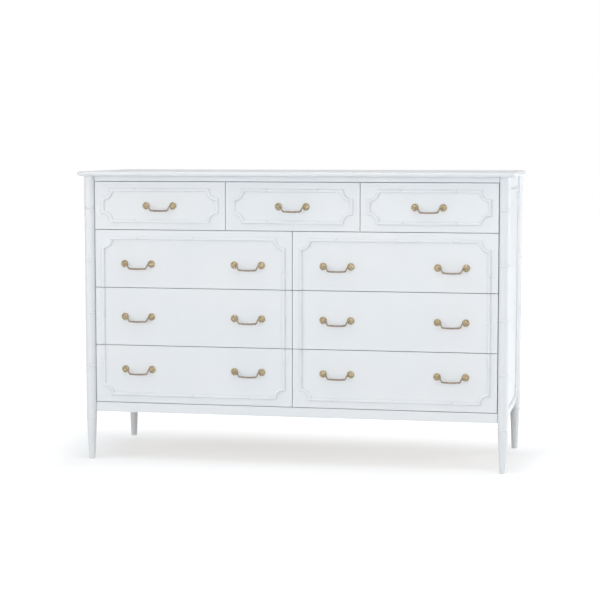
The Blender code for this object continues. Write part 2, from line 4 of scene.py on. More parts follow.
import bmesh
import bpy
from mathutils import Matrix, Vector

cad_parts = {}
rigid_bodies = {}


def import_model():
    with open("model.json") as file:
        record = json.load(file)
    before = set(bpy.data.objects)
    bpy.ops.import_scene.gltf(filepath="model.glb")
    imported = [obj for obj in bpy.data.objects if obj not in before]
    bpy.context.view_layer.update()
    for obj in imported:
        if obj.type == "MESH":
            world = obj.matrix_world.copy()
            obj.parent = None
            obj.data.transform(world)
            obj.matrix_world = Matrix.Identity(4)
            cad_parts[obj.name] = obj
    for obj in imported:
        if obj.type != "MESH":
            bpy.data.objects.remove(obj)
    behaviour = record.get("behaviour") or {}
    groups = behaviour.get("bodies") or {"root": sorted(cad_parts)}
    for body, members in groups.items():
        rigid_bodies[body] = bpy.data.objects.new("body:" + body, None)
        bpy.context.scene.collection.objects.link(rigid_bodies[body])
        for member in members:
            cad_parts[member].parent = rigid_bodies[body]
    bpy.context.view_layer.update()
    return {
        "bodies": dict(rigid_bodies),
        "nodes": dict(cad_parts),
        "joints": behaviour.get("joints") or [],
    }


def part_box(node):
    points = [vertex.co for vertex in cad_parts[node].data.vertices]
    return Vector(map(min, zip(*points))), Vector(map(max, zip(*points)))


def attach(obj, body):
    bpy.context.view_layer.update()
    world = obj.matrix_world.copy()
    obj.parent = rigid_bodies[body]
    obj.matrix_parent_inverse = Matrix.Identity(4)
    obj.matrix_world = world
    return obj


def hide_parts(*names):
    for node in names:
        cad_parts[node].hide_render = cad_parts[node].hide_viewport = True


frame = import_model()


# Corner posts
# Four hardwood posts, each turned on a lathe in one with its leg: a rod with five bamboo rings that
# tapers from the lowest ring to a slim foot. Each is notched for the corner of the case, glued, and
# sprayed with the case in a cool white satin lacquer.
POST_SIDES = 64
POST_RADIUS = 0.0185
LEG_RADIUS = 0.0176
FOOT_RADIUS = 0.0107
FOOT_ROUNDING = 0.001
LOWEST_RING = 0.149
RING_SPACING = 0.185
RING_COUNT = 5
TAPER_BELOW_RING = 0.012
# Half of a ring, from its middle: how far along the post, and how far out from the rod
RING_HALF_PROFILE = ((0.0010, 0.0009), (0.0022, 0.0008), (0.0031, 0.0003), (0.0038, -0.0007),
                     (0.0045, -0.0011), (0.0053, -0.0008), (0.0064, 0.0))
NOTCH_CLEARANCE = 0.0003
SMOOTH_ANGLE = math.radians(32)
RIGHT_ANGLE = math.pi / 2
FULL_TURN = 2 * math.pi

PAINT_COOL = (0.775, 0.808, 0.836, 1)
PAINT_WARM = (0.800, 0.818, 0.836, 1)
PAINT_PATCHES = 3
PAINT_DIMPLES = 420
PAINT_GLOSS_PATCHES = 14
PAINT_ROUGHNESS = (0.30, 0.38)
DIMPLE_STRENGTH = 0.25
DIMPLE_DEPTH = 0.00003
PATCH_DETAIL = 3.0
PATCH_CONTRAST = (0.35, 0.65)


def choose(*pieces):
    """Select only these pieces, the last one active."""
    bpy.ops.object.select_all(action="DESELECT")
    for piece in pieces:
        piece.select_set(True)
    bpy.context.view_layer.objects.active = pieces[-1]


def edit(piece):
    """Open one piece in edit mode."""
    choose(piece)
    bpy.ops.object.mode_set(mode="EDIT")


def pick(kind, test):
    """In edit mode, select only the corners, edges or faces that pass a test."""
    bpy.ops.mesh.select_mode(type=kind)
    bpy.ops.mesh.select_all(action="DESELECT")
    mesh = bpy.context.edit_object.data
    form = bmesh.from_edit_mesh(mesh)
    for part in {"VERT": form.verts, "EDGE": form.edges, "FACE": form.faces}[kind]:
        if test(part):
            part.select_set(True)
    form.select_flush_mode()
    bmesh.update_edit_mesh(mesh)


def close_edit():
    """Turn all faces outwards and leave edit mode."""
    bpy.ops.mesh.select_all(action="SELECT")
    bpy.ops.mesh.normals_make_consistent(inside=False)
    bpy.ops.object.mode_set(mode="OBJECT")


def turned(foot, direction, sections, sides):
    """Turn a round piece: a disc at its foot, drawn out through (distance, radius) sections."""
    direction = Vector(direction)
    distance, radius = sections[0]
    bpy.ops.object.select_all(action="DESELECT")
    bpy.ops.mesh.primitive_circle_add(vertices=sides, radius=radius, fill_type="NGON",
                                      location=foot + direction * distance,
                                      rotation=direction.to_track_quat("Z", "X").to_euler())
    piece = bpy.context.object
    bpy.ops.object.transform_apply()
    edit(piece)
    for further, wider in sections[1:]:
        bpy.ops.mesh.extrude_region_move(
            TRANSFORM_OT_translate={"value": direction * (further - distance)})
        share = wider / radius
        bpy.ops.transform.resize(value=(share, share, share),
                                 center_override=foot + direction * further)
        distance, radius = further, wider
    close_edit()
    return piece


def ring_sections(middle, rod_radius, half_profile):
    """Give the (distance, radius) sections of a bamboo ring around a rod."""
    before = [(middle - along, rod_radius + out) for along, out in reversed(half_profile)]
    return before + [(middle + along, rod_radius + out) for along, out in half_profile]


def moved(piece, shift):
    """Move a piece."""
    choose(piece)
    bpy.ops.transform.translate(value=shift)
    bpy.ops.object.transform_apply()
    return piece


def copied(piece, shift=(0, 0, 0)):
    """Copy a piece, with a mesh of its own, and move the copy."""
    choose(piece)
    bpy.ops.object.duplicate(linked=False)
    return moved(bpy.context.object, shift)


def cut_with(piece, cutter):
    """Cut a piece with a cutter, which stays."""
    choose(piece)
    cut = piece.modifiers.new("notch", "BOOLEAN")
    cut.operation = "DIFFERENCE"
    cut.solver = "EXACT"
    cut.object = cutter
    bpy.ops.object.modifier_apply(modifier=cut.name)


def fit(piece, name, body, slot, finish, *nodes):
    """Finish a piece at its place, on its body, in place of the CAD nodes it stands for."""
    choose(piece)
    bpy.ops.object.transform_apply()
    bpy.ops.object.shade_smooth_by_angle(angle=SMOOTH_ANGLE)
    piece.name = name
    piece.data.name = name
    piece.data.materials.clear()
    piece.data.materials.append(finish)
    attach(piece, body)
    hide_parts(*nodes)


def add_node(tree, kind, inputs=None, **settings):
    """Add a shader node with its settings, and set or link its inputs."""
    node = tree.nodes.new(kind)
    for name, value in settings.items():
        setattr(node, name, value)
    for name, value in (inputs or {}).items():
        if isinstance(value, bpy.types.NodeSocket):
            tree.links.new(value, node.inputs[name])
        else:
            node.inputs[name].default_value = value
    return node


def mixed(tree, mask, first, second):
    """Mix two colours by a mask."""
    mix = add_node(tree, "ShaderNodeMix", {"Factor": mask, "A": first, "B": second}, data_type="RGBA")
    return mix.outputs["Result"]


def between(tree, mask, low, high):
    """Spread a mask from 0 to 1 between two numbers."""
    spread = add_node(tree, "ShaderNodeMapRange", {"Value": mask, "To Min": low, "To Max": high})
    return spread.outputs["Result"]


def relief(tree, shader, height, strength, depth):
    """Raise and sink the surface by a height mask."""
    bump = add_node(tree, "ShaderNodeBump", {"Strength": strength, "Distance": depth, "Height": height})
    tree.links.new(bump.outputs["Normal"], shader.inputs["Normal"])


def new_group(name, inputs, outputs):
    """Start a node group with named sockets; give its tree, its inputs and its output node."""
    tree = bpy.data.node_groups.new(name, "ShaderNodeTree")
    for label, kind in inputs.items():
        tree.interface.new_socket(label, in_out="INPUT", socket_type=kind)
    for label, kind in outputs.items():
        tree.interface.new_socket(label, in_out="OUTPUT", socket_type=kind)
    entry = tree.nodes.new("NodeGroupInput")
    return tree, entry.outputs, tree.nodes.new("NodeGroupOutput")


def mottle_group():
    """Soft cloudy patches from 0 to 1, for the paint and its ragged edge, the brass and the floor."""
    tree, entry, outcome = new_group(
        "mottle", {"Vector": "NodeSocketVector", "Scale": "NodeSocketFloat"}, {"Mask": "NodeSocketFloat"})
    clouds = add_node(tree, "ShaderNodeTexNoise",
                      {"Vector": entry["Vector"], "Scale": entry["Scale"], "Detail": PATCH_DETAIL})
    spread = add_node(tree, "ShaderNodeMapRange", {"Value": clouds.outputs["Fac"],
                                                   "From Min": PATCH_CONTRAST[0],
                                                   "From Max": PATCH_CONTRAST[1]})
    tree.links.new(spread.outputs["Result"], outcome.inputs["Mask"])
    return tree


def new_material(name):
    """Start a material; give it with its node tree, its shader and its object coordinates."""
    material = bpy.data.materials.new(name)
    material.use_nodes = True
    tree = material.node_tree
    place = tree.nodes.new("ShaderNodeTexCoord").outputs["Object"]
    return material, tree, tree.nodes["Principled BSDF"], place


def mottled(tree, place, scale):
    """Place the mottle group; give its mask."""
    patches = add_node(tree, "ShaderNodeGroup", {"Vector": place, "Scale": scale}, node_tree=MOTTLE)
    return patches.outputs["Mask"]


def white_paint():
    """Cool white satin lacquer: faint clouds of tone and gloss, and the dimples of a spray gun."""
    material, tree, shader, place = new_material("white_paint")
    tone = mixed(tree, mottled(tree, place, PAINT_PATCHES), PAINT_COOL, PAINT_WARM)
    tree.links.new(tone, shader.inputs["Base Color"])
    gloss = between(tree, mottled(tree, place, PAINT_GLOSS_PATCHES), *PAINT_ROUGHNESS)
    tree.links.new(gloss, shader.inputs["Roughness"])
    relief(tree, shader, mottled(tree, place, PAINT_DIMPLES), DIMPLE_STRENGTH, DIMPLE_DEPTH)
    return material


MOTTLE = mottle_group()
WHITE_PAINT = white_paint()


def post_sections():
    """Give the sections of a post, from its foot to the underside of the top."""
    low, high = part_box("post_front_left")
    sections = [(low.z, FOOT_RADIUS - FOOT_ROUNDING), (low.z + FOOT_ROUNDING, FOOT_RADIUS),
                (LOWEST_RING - TAPER_BELOW_RING, LEG_RADIUS)]
    for index in range(RING_COUNT):
        sections += ring_sections(LOWEST_RING + index * RING_SPACING, POST_RADIUS, RING_HALF_PROFILE)
    return sections + [(high.z, POST_RADIUS)]


def post_axis(node):
    """Give the foot of a post's axis."""
    low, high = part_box(node)
    return Vector(((low.x + high.x) / 2, (low.y + high.y) / 2, 0))


def case_cutter():
    """Make the block that the case takes up, with its clearance, to cut the posts' notches."""
    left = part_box("side_left")[0]
    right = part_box("side_right")[1]
    loose = Vector((NOTCH_CLEARANCE, NOTCH_CLEARANCE, NOTCH_CLEARANCE))
    bpy.ops.object.select_all(action="DESELECT")
    bpy.ops.mesh.primitive_cube_add(size=1, location=(left + right) / 2,
                                    scale=right - left + loose * 2)
    bpy.ops.object.transform_apply()
    return bpy.context.object


case_block = case_cutter()
first_axis = post_axis("post_front_left")
plain_post = turned(first_axis, (0, 0, 1), post_sections(), POST_SIDES)
for corner in ("front_left", "front_right", "back_left", "back_right"):
    post = copied(plain_post, post_axis("post_" + corner) - first_axis)
    cut_with(post, case_block)
    fit(post, "turned_post_" + corner, "case", "paint", WHITE_PAINT, "post_" + corner)
bpy.data.objects.remove(plain_post)
bpy.data.objects.remove(case_block)


# Painted side panels and rails
# Flat boards with slightly eased edges: a panel at each end of the case, a narrow rail under the top and
# a deeper one under the lowest drawers. They are glued between the posts and painted with them.
BOARD_ROUNDING = 0.0012
BOARD_ROUNDING_STEPS = 3


def board(low, high, rounding=BOARD_ROUNDING):
    """Make a board between two corners, with eased edges."""
    bpy.ops.object.select_all(action="DESELECT")
    bpy.ops.mesh.primitive_cube_add(size=1, location=(low + high) / 2, scale=high - low)
    piece = bpy.context.object
    bpy.ops.object.transform_apply()
    edit(piece)
    bpy.ops.mesh.select_all(action="SELECT")
    bpy.ops.mesh.bevel(offset=rounding, segments=BOARD_ROUNDING_STEPS, affect="EDGES")
    close_edit()
    return piece


def flat_between_edges(piece):
    """Keep the shading of the wide faces flat, so that only the eased edges look round."""
    choose(piece)
    weights = piece.modifiers.new("flat_faces", "WEIGHTED_NORMAL")
    weights.keep_sharp = True
    bpy.ops.object.modifier_apply(modifier=weights.name)


for node in ("side_left", "side_right", "top_rail", "bottom_rail"):
    panel = board(*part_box(node))
    fit(panel, "painted_" + node, "case", "paint", WHITE_PAINT, node)
    flat_between_edges(panel)


# Bamboo moulding of the sides
# A frame on each end panel of half-round moulding carved with bamboo knots: four straight lengths, and a
# scallop cut into each corner. The lengths are mitred, glued and pinned to the panel and painted over.
MOULDING_SIDES = 24
MOULDING_RADIUS = 0.006
SCALLOP_RADIUS = 0.032
SCALLOP_STEPS = 14
MITRE_SPARE = 0.010
FACING = 0.9
MOULDING_PROUD = 0.001
MOULDING_SUNK = 0.0002
KNOT_REACH = 0.0073
# Half of a knot, from its middle: how far along the moulding, and how far out from it
KNOT_HALF_PROFILE = ((0.0008, 0.0014), (0.0017, 0.0012), (0.0024, 0.0005), (0.0030, -0.0006),
                     (0.0038, -0.0008), (0.0050, 0.0))
SIDE_KNOTS = (-0.1535, 0, 0.1535)


def sawn(piece, *cuts):
    """Saw a piece at planes, each a point and the way that the waste lies, and close the cuts."""
    edit(piece)
    for point, waste in cuts:
        bpy.ops.mesh.select_all(action="SELECT")
        bpy.ops.mesh.bisect(plane_co=point, plane_no=waste, use_fill=True, clear_outer=True)
    close_edit()
    return piece


def bamboo_length(start, direction, length, knots, *mitres):
    """Turn a straight length with knots around its middle, then saw its mitres and its flat seat."""
    sections = [(-MITRE_SPARE, MOULDING_RADIUS)]
    for knot in knots:
        sections += ring_sections(length / 2 + knot, MOULDING_RADIUS, KNOT_HALF_PROFILE)
    sections.append((length + MITRE_SPARE, MOULDING_RADIUS))
    return sawn(turned(start, direction, sections, MOULDING_SIDES), *mitres, seat_cut(start))


def seat_cut(point):
    """Give the cut along the seat of a moulding, a little behind the face that it is glued to."""
    return point + Vector((0, MOULDING_PROUD + MOULDING_SUNK, 0)), (0, 1, 0)


def bamboo_scallop(corner):
    """Make the quarter ring of an upper left corner, spun round the corner's point."""
    start = corner - Vector((0, 0, SCALLOP_RADIUS))
    end = corner + Vector((SCALLOP_RADIUS, 0, 0))
    piece = turned(start, (1, 0, 0), [(-MITRE_SPARE, MOULDING_RADIUS), (0, MOULDING_RADIUS)],
                   MOULDING_SIDES)
    edit(piece)
    pick("FACE", lambda face: face.normal.x > FACING)
    bpy.ops.mesh.spin(steps=SCALLOP_STEPS, angle=RIGHT_ANGLE, center=corner, axis=(0, 1, 0))
    bpy.ops.mesh.extrude_region_move(TRANSFORM_OT_translate={"value": (0, 0, MITRE_SPARE)})
    close_edit()
    return sawn(piece, (start, (-1, 0, -1)), (end, (1, 0, 1)), seat_cut(corner))


def swung(piece, angle, axis, centre):
    """Turn a piece about an axis; with no window the operator turns the other way, hence the minus."""
    choose(piece)
    bpy.ops.transform.rotate(value=-angle, orient_axis=axis, center_override=centre)
    bpy.ops.object.transform_apply()
    return piece


def joined(*pieces):
    """Join pieces to one mesh."""
    choose(*pieces)
    bpy.ops.object.join()
    return bpy.context.object


def scalloped_frame(low, high, upright_knots, cross_knots):
    """Make a moulding frame in the plane of the front, seated at the y of its low corner."""
    low = low - Vector((0, MOULDING_PROUD, 0))
    high = high - Vector((0, MOULDING_PROUD, 0))
    across = Vector((SCALLOP_RADIUS, 0, 0))
    rise = Vector((0, 0, SCALLOP_RADIUS))
    top_left = Vector((low.x, low.y, high.z))
    top_right = Vector((high.x, low.y, high.z))
    upright = bamboo_length(low + rise, (0, 0, 1), (high.z - low.z) - 2 * SCALLOP_RADIUS, upright_knots,
                            (low + rise, (1, 0, -1)), (top_left - rise, (1, 0, 1)))
    cross = bamboo_length(top_left + across, (1, 0, 0), (high.x - low.x) - 2 * SCALLOP_RADIUS, cross_knots,
                          (top_left + across, (-1, 0, -1)), (top_right - across, (1, 0, -1)))
    upper_scallop = bamboo_scallop(top_left)
    lower_scallop = swung(copied(upper_scallop), -RIGHT_ANGLE, "Y", top_left)
    moved(lower_scallop, low - top_left)
    half = joined(lower_scallop, upper_scallop, cross, upright)
    other_half = swung(copied(half), 2 * RIGHT_ANGLE, "Y", (low + high) / 2)
    return joined(other_half, half)


side_low, side_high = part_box("side_moulding_right")
panel_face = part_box("side_right")[1].x
frame_low = Vector((side_low.y + KNOT_REACH, -panel_face, side_low.z + KNOT_REACH))
frame_high = Vector((side_high.y - KNOT_REACH, -panel_face, side_high.z - KNOT_REACH))
right_frame = scalloped_frame(frame_low, frame_high, SIDE_KNOTS, (0,))
swung(right_frame, RIGHT_ANGLE, "Z", (0, 0, 0))
left_frame = swung(copied(right_frame), 2 * RIGHT_ANGLE, "Z", (0, (side_low.y + side_high.y) / 2, 0))
fit(right_frame, "bamboo_moulding_side_right", "case", "paint", WHITE_PAINT, "side_moulding_right")
fit(left_frame, "bamboo_moulding_side_left", "case", "paint", WHITE_PAINT, "side_moulding_left")


# Inside of the case
# Bare boards that carry the drawers: dust boards, a bottom, two dividers, a partition and a thin back.
# They are glued in grooves, and their front edges took some of the paint when the case was sprayed.
WOOD_PALE = (0.64, 0.50, 0.34, 1)
WOOD_DARK = (0.48, 0.34, 0.21, 1)
GRAIN_STRETCH = 14
GRAIN_SCALE = 5
GRAIN_DETAIL = 6.0
GRAIN_WAVER = 0.6
GRAIN_CONTRAST = (0.32, 0.68)
PORES_PER_STREAK = 12
PORE_DETAIL = 2.0
PORE_STRENGTH = 0.35
PORE_DEPTH = 0.0001
WOOD_ROUGHNESS = (0.62, 0.50)
PAINTED_EDGE_DEPTH = 0.012
PAINT_RAGGED = 0.003
PAINT_RAGGED_PATCHES = 30
PAINT_FADE = 0.002


def grain_group():
    """Wood grain that runs along X of the vector that it is given: its streaks and its pores."""
    tree, entry, outcome = new_group("wood_grain", {"Vector": "NodeSocketVector"},
                                     {"Streaks": "NodeSocketFloat", "Pores": "NodeSocketFloat"})
    along = add_node(tree, "ShaderNodeMapping", {"Vector": entry["Vector"],
                                                 "Scale": (1, GRAIN_STRETCH, GRAIN_STRETCH)})
    streaks = add_node(tree, "ShaderNodeTexNoise",
                       {"Vector": along.outputs["Vector"], "Scale": GRAIN_SCALE, "Detail": GRAIN_DETAIL,
                        "Distortion": GRAIN_WAVER})
    spread = add_node(tree, "ShaderNodeMapRange", {"Value": streaks.outputs["Fac"],
                                                   "From Min": GRAIN_CONTRAST[0],
                                                   "From Max": GRAIN_CONTRAST[1]})
    pores = add_node(tree, "ShaderNodeTexNoise",
                     {"Vector": along.outputs["Vector"], "Scale": GRAIN_SCALE * PORES_PER_STREAK,
                      "Detail": PORE_DETAIL})
    tree.links.new(spread.outputs["Result"], outcome.inputs["Streaks"])
    tree.links.new(pores.outputs["Fac"], outcome.inputs["Pores"])
    return tree


def bare_wood(name, turn, painted_in_front=False):
    """Bare wood whose grain runs along X after a turn, with paint on its front edge if it has any."""
    material, tree, shader, place = new_material(name)
    turned_place = add_node(tree, "ShaderNodeMapping", {"Vector": place, "Rotation": turn})
    grain = add_node(tree, "ShaderNodeGroup", {"Vector": turned_place.outputs["Vector"]}, node_tree=GRAIN)
    colour = mixed(tree, grain.outputs["Streaks"], WOOD_DARK, WOOD_PALE)
    if painted_in_front:
        colour = mixed(tree, front_edge_mask(tree, place), colour, PAINT_COOL)
    tree.links.new(colour, shader.inputs["Base Color"])
    tree.links.new(between(tree, grain.outputs["Streaks"], *WOOD_ROUGHNESS), shader.inputs["Roughness"])
    relief(tree, shader, grain.outputs["Pores"], PORE_STRENGTH, PORE_DEPTH)
    return material


def front_edge_mask(tree, place):
    """Mark the strip behind the drawer fronts that the paint reached, with a ragged edge."""
    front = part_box("dust_board_upper")[0].y
    depth = add_node(tree, "ShaderNodeSeparateXYZ", {"Vector": place}).outputs["Y"]
    ragged = between(tree, mottled(tree, place, PAINT_RAGGED_PATCHES), 0, PAINT_RAGGED)
    inwards = add_node(tree, "ShaderNodeMath", {0: depth, 1: ragged}, operation="SUBTRACT")
    reach = front + PAINTED_EDGE_DEPTH
    strip = add_node(tree, "ShaderNodeMapRange",
                     {"Value": inwards.outputs["Value"], "From Min": reach, "From Max": reach + PAINT_FADE,
                      "To Min": 1, "To Max": 0})
    return strip.outputs["Result"]


def dress(node, finish):
    """Give a CAD node that stays a better material."""
    for place in frame["nodes"][node].material_slots:
        place.material = finish


GRAIN = grain_group()
CASE_WOOD = bare_wood("case_wood_long", (0, 0, 0), True)
CASE_WOOD_DEEP = bare_wood("case_wood_deep", (0, 0, RIGHT_ANGLE), True)
for node in frame["nodes"]:
    if node.startswith("dust_board") or node in ("bottom_board", "back_panel"):
        dress(node, CASE_WOOD)
    elif node.startswith("divider") or node == "centre_partition":
        dress(node, CASE_WOOD_DEEP)


# Drawer boxes
# Each is glued up from two sides, a back and an inner front of solid wood with rounded edges, round a
# thin bottom that sits in a groove. The drawer front is screwed on later.
BOX_WALL = 0.012
BOX_BOTTOM = 0.006
BOX_BOTTOM_RAISE = 0.008
BOX_ROUNDING = 0.0025
BOTTOM_IN_GROOVE = 0.004
BOX_SIDE_WOOD = bare_wood("drawer_side_wood", (0, 0, RIGHT_ANGLE))
BOX_END_WOOD = bare_wood("drawer_end_wood", (0, 0, 0))
DRAWERS = [name for name in frame["bodies"] if name + "_box" in frame["nodes"]]

for drawer in DRAWERS:
    node = drawer + "_box"
    low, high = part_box(node)
    wall = Vector((BOX_WALL, 0, 0))
    sides = joined(board(low, Vector((low.x + BOX_WALL, high.y, high.z)), BOX_ROUNDING),
                   board(Vector((high.x - BOX_WALL, low.y, low.z)), high, BOX_ROUNDING))
    ends = joined(board(low + wall, Vector((high.x - BOX_WALL, low.y + BOX_WALL, high.z)), BOX_ROUNDING),
                  board(Vector((low.x + BOX_WALL, high.y - BOX_WALL, low.z)), high - wall, BOX_ROUNDING))
    groove = Vector((BOX_WALL - BOTTOM_IN_GROOVE, BOX_WALL - BOTTOM_IN_GROOVE, 0))
    bottom_low = low + groove + Vector((0, 0, BOX_BOTTOM_RAISE))
    bottom_high = Vector((high.x, high.y, low.z + BOX_BOTTOM_RAISE + BOX_BOTTOM)) - groove
    fit(sides, drawer + "_wooden_sides", drawer, "bare_wood", BOX_SIDE_WOOD, node)
    fit(ends, drawer + "_wooden_ends", drawer, "bare_wood", BOX_END_WOOD, node)
    fit(board(bottom_low, bottom_high), drawer + "_thin_bottom", drawer, "bare_wood", BOX_END_WOOD, node)


# Drawer fronts
# Overlay boards that cover the case's edges, with eased edges and a narrow gap around each. They are
# painted apart from the case and screwed to the drawer boxes from inside. Those beside a post reach a
# little nearer to it than the CAD's.
FRONT_THICKNESS = 0.020
FRONT_ROUNDING = 0.0012
NEARER_TO_POST = 0.0004

for drawer in DRAWERS:
    low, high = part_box(drawer + "_front")
    low.y = high.y - FRONT_THICKNESS
    if drawer.endswith("left"):
        low.x -= NEARER_TO_POST
    if drawer.endswith("right"):
        high.x += NEARER_TO_POST
    front = board(low, high, FRONT_ROUNDING)
    fit(front, drawer + "_painted_front", drawer, "paint", WHITE_PAINT, drawer + "_front")
    flat_between_edges(front)


# Bamboo moulding of the drawer fronts
# The same half-round bamboo moulding, glued on: a whole frame on each top drawer, and one tall frame over
# each column of three wide drawers, sawn through where the drawers part.
FRAME_INSET = 0.0286
TOP_KNOTS = (-0.091, 0.091)
COLUMN_KNOTS = (-0.200, 0, 0.200)
SAWN_SHORT = 0.0003


def front_frame(lower_drawer, upper_drawer, upright_knots, cross_knots):
    """Make the moulding frame that spans from one drawer's front to the one above it."""
    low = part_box(lower_drawer + "_front")[0]
    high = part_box(upper_drawer + "_front")[1]
    low.y = high.y = high.y - FRONT_THICKNESS
    inset = Vector((FRAME_INSET, 0, FRAME_INSET))
    return scalloped_frame(low + inset, high - inset, upright_knots, cross_knots)


top_frame = front_frame("drawer_top_left", "drawer_top_left", (), TOP_KNOTS)
column_frame = front_frame("drawer_lower_left", "drawer_upper_left", SIDE_KNOTS, COLUMN_KNOTS)
for drawer in DRAWERS:
    low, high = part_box(drawer + "_front")
    top_row = drawer.startswith("drawer_top")
    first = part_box("drawer_top_left_front" if top_row else "drawer_lower_left_front")[0]
    moulding = copied(top_frame if top_row else column_frame, (low.x - first.x, 0, 0))
    if not top_row:
        sawn(moulding, ((0, 0, low.z + SAWN_SHORT), (0, 0, -1)), ((0, 0, high.z - SAWN_SHORT), (0, 0, 1)))
    fit(moulding, drawer + "_bamboo_moulding", drawer, "paint", WHITE_PAINT, drawer + "_front")
bpy.data.objects.remove(top_frame)
bpy.data.objects.remove(column_frame)


# Rosettes of the pulls
# Cast brass, aged to a dull olive gold: a petalled plate, a dome and a neck with a ball ear, bolted
# through the drawer front. The ends of the bail sit in the balls.
PULL_SPACING = 0.096
AXIS_OUT = 0.012
EAR_RADIUS = 0.005
ROSETTE_SIDES = 48
PETALS = 12
PETAL_NOTCH = 0.90
PETALS_FROM = 0.0118
PLATE_PROFILE = ((-0.0002, 0.0124), (0.0008, 0.0131), (0.0016, 0.0131), (0.0023, 0.0122),
                 (0.0023, 0.0113), (0.0018, 0.0102), (0.0026, 0.0090), (0.0040, 0.0074),
                 (0.0052, 0.0050), (0.0062, 0.0036))
BALL_STEPS = 9
BALL_START = math.radians(-50)
BALL_TIP = 0.0002
BRASS_BRIGHT = (0.54, 0.45, 0.295, 1)
BRASS_AGED = (0.26, 0.205, 0.12, 1)
BRASS_PATCHES = 190
BRASS_PITS = 1500
BRASS_ROUGHNESS = (0.46, 0.28)
PIT_STRENGTH = 0.3
PIT_DEPTH = 0.00005


def aged_brass(name, dull, bright):
    """Brass that has dulled in patches, with fine pits from its casting."""
    material, tree, shader, place = new_material(name)
    patches = mottled(tree, place, BRASS_PATCHES)
    tree.links.new(mixed(tree, patches, dull, bright), shader.inputs["Base Color"])
    tree.links.new(between(tree, patches, *BRASS_ROUGHNESS), shader.inputs["Roughness"])
    shader.inputs["Metallic"].default_value = 1.0
    relief(tree, shader, mottled(tree, place, BRASS_PITS), PIT_STRENGTH, PIT_DEPTH)
    return material


def ball_sections():
    """Give the sections of the ball ear, from the neck to its tip."""
    sections = []
    for step in range(BALL_STEPS + 1):
        angle = BALL_START + (RIGHT_ANGLE - BALL_START) * step / BALL_STEPS
        radius = max(EAR_RADIUS * math.cos(angle), BALL_TIP)
        sections.append((AXIS_OUT + EAR_RADIUS * math.sin(angle), radius))
    return sections


def rosette(seat):
    """Turn a rosette on its seat and press the notches between its petals."""
    piece = turned(seat, (0, -1, 0), list(PLATE_PROFILE) + ball_sections(), ROSETTE_SIDES)

    def between_petals(corner):
        across = corner.co - seat
        angle = math.atan2(across.z, across.x)
        spoke = round(angle / FULL_TURN * ROSETTE_SIDES)
        out = Vector((across.x, across.z)).length
        return out > PETALS_FROM and spoke % (ROSETTE_SIDES // PETALS) == 0

    edit(piece)
    pick("VERT", between_petals)
    bpy.ops.transform.resize(value=(PETAL_NOTCH, 1, PETAL_NOTCH), center_override=seat)
    close_edit()
    return piece


CAST_BRASS = aged_brass("cast_brass", BRASS_AGED, BRASS_BRIGHT)
PULLS = {joint["child"]: Vector(joint["pos_m"]) for joint in frame["joints"] if "bail" in joint["child"]}
first_pivot = PULLS["drawer_top_left_bail"]
half_pull = Vector((PULL_SPACING / 2, 0, 0))
first_rosette = rosette(first_pivot - half_pull + Vector((0, AXIS_OUT, 0)))
for drawer in DRAWERS:
    ears = []
    for bail, pivot in PULLS.items():
        if bail.startswith(drawer):
            ears.append(copied(first_rosette, pivot - first_pivot))
            ears.append(copied(first_rosette, pivot - first_pivot + 2 * half_pull))
    fit(joined(*ears), drawer + "_rosettes", drawer, "brass", CAST_BRASS, drawer + "_front")
bpy.data.objects.remove(first_rosette)


# Bails
# Brass rod bent to a handle: its ends sit in the ball ears, its shoulders fall in a gentle S, and its bar
# bows a little, with a small collar at each end. It swings freely and hangs by its own weight.
PIN_RADIUS = 0.0015
BAR_RADIUS = 0.0028
COLLAR_RADIUS = 0.0031
COLLAR_HALF = 0.0012
PIN_END = 0.046
SHOULDER = 0.0418
BAR_HALF = 0.0275
BAIL_DROP = 0.0166
BAIL_SAG = 0.0012
SHOULDER_STEPS = 14
SHOULDER_STEEPNESS = 0.25
BAR_STEPS = 8
ROD_SIDES = 6
MERGE_WITHIN = 0.000001
ROD_BRIGHT = (0.36, 0.285, 0.22, 1)
ROD_AGED = (0.22, 0.165, 0.122, 1)


def half_bail():
    """Give (across, height, radius) along the left half of a bail, from its pin to the bar's collar."""
    points = [(-PIN_END, 0, PIN_RADIUS), (-SHOULDER, 0, PIN_RADIUS)]
    for step in range(1, SHOULDER_STEPS):
        share = step / SHOULDER_STEPS
        fall = BAIL_DROP * (1 - math.cos(2 * RIGHT_ANGLE * share)) / 2
        inwards = share + SHOULDER_STEEPNESS * math.sin(FULL_TURN * share) / FULL_TURN
        radius = PIN_RADIUS + (BAR_RADIUS - PIN_RADIUS) * math.sqrt(share)
        points.append((-SHOULDER + (SHOULDER - BAR_HALF) * inwards, -fall, radius))
    for along, radius in ((-COLLAR_HALF, BAR_RADIUS), (-COLLAR_HALF / 2, COLLAR_RADIUS),
                          (COLLAR_HALF / 2, COLLAR_RADIUS), (COLLAR_HALF, BAR_RADIUS)):
        points.append((-BAR_HALF + along, -BAIL_DROP, radius))
    return points


def bail_points():
    """Give (across, height, radius) along a whole bail."""
    left = half_bail()
    bar = []
    for step in range(1, BAR_STEPS):
        share = 2 * step / BAR_STEPS - 1
        sag = BAIL_SAG * (1 - share * share)
        bar.append(((BAR_HALF - COLLAR_HALF) * share, -BAIL_DROP - sag, BAR_RADIUS))
    return left + bar + [(-across, height, radius) for across, height, radius in reversed(left)]


